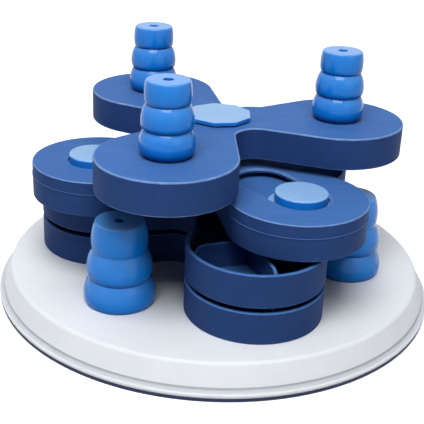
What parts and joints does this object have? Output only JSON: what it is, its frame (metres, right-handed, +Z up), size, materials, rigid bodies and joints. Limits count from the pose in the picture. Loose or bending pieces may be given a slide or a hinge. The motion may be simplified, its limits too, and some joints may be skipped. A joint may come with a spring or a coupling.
{
  "type": "dog puzzle feeder toy",
  "caption": "Rotary treat puzzle for dogs: lobed storeys turn on a post over a round base, knobs slide over treat wells, and ringed cones lift off their dishes.",
  "frame": {"origin": "on the floor, under the middle of the round base", "axes": "+Z up along the post; -Y towards the front side that the main picture shows; +X to the right of it"},
  "size_m": [0.22, 0.22, 0.1233],
  "materials": {
    "white_plastic": "satin white moulded plastic",
    "navy_plastic": "satin navy moulded plastic",
    "light_blue_plastic": "satin light blue moulded plastic",
    "grip_rubber": "soft dark rubber",
    "washer_plastic": "natural slippery plastic",
    "steel": "plain screws"
  },
  "bodies": {
    "base": {"base_shell": "white_plastic", "grip_ring": "grip_rubber", "bottom_cover": "white_plastic", "cover_screws": "steel", "lower_tray": "navy_plastic", "tray_screws": "steel", "spindle": "navy_plastic", "spindle_screws": "steel", "lower_washer": "washer_plastic", "hub_washer": "steel", "hub_screw": "steel"},
    "middle_tray": {"middle_tray": "navy_plastic", "middle_washer": "washer_plastic"},
    "slider_tier": {"slider_floor": "navy_plastic", "slider_body": "navy_plastic", "slider_lid": "navy_plastic", "lid_screws": "steel", "upper_washer": "washer_plastic"},
    "top_plate": {"top_floor": "navy_plastic", "top_plate": "navy_plastic", "top_screws": "steel", "badge_cap": "light_blue_plastic"},
    "slider_1": {"slider_1": "light_blue_plastic"},
    "slider_2": {"slider_2": "light_blue_plastic"},
    "slider_3": {"slider_3": "light_blue_plastic"},
    "top_cone_1": {"top_cone_1": "light_blue_plastic"},
    "top_cone_2": {"top_cone_2": "light_blue_plastic"},
    "top_cone_3": {"top_cone_3": "light_blue_plastic"},
    "base_cone_1": {"base_cone_1": "light_blue_plastic"},
    "base_cone_2": {"base_cone_2": "light_blue_plastic"},
    "base_cone_3": {"base_cone_3": "light_blue_plastic"}
  },
  "joints": [
    {"name": "middle_tray_turn", "type": "hinge", "parent": "base", "child": "middle_tray", "pos_m": [0, 0, 0.0335], "axis": [0, 0, 1], "range_deg": [-14.5, 18]},
    {"name": "slider_tier_turn", "type": "hinge", "parent": "base", "child": "slider_tier", "pos_m": [0, 0, 0.05165], "axis": [0, 0, 1], "range_deg": [-37.2, 1]},
    {"name": "top_plate_turn", "type": "hinge", "parent": "base", "child": "top_plate", "pos_m": [0, 0, 0.0736], "axis": [0, 0, 1], "continuous": true},
    {"name": "slider_1_slide", "type": "slide", "parent": "slider_tier", "child": "slider_1", "axis": [-0.628, 0.7782, 0], "range_m": [0, 0.0264]},
    {"name": "slider_2_slide", "type": "slide", "parent": "slider_tier", "child": "slider_2", "axis": [-0.36, -0.933, 0], "range_m": [0, 0.0264]},
    {"name": "slider_3_slide", "type": "slide", "parent": "slider_tier", "child": "slider_3", "axis": [0.988, 0.1547, 0], "range_m": [0, 0.0264]},
    {"name": "top_cone_1_lift", "type": "slide", "parent": "top_plate", "child": "top_cone_1", "axis": [0, 0, 1], "range_m": [0, 0.06]},
    {"name": "top_cone_2_lift", "type": "slide", "parent": "top_plate", "child": "top_cone_2", "axis": [0, 0, 1], "range_m": [0, 0.06]},
    {"name": "top_cone_3_lift", "type": "slide", "parent": "top_plate", "child": "top_cone_3", "axis": [0, 0, 1], "range_m": [0, 0.06]},
    {"name": "base_cone_1_lift", "type": "slide", "parent": "base", "child": "base_cone_1", "axis": [0.9391, -0.1504, 0.309], "range_m": [0, 0.075]},
    {"name": "base_cone_2_lift", "type": "slide", "parent": "base", "child": "base_cone_2", "axis": [-0.3393, 0.8885, 0.309], "range_m": [0, 0.075]},
    {"name": "base_cone_3_lift", "type": "slide", "parent": "base", "child": "base_cone_3", "axis": [-0.5998, -0.7381, 0.309], "range_m": [0, 0.075]}
  ]
}
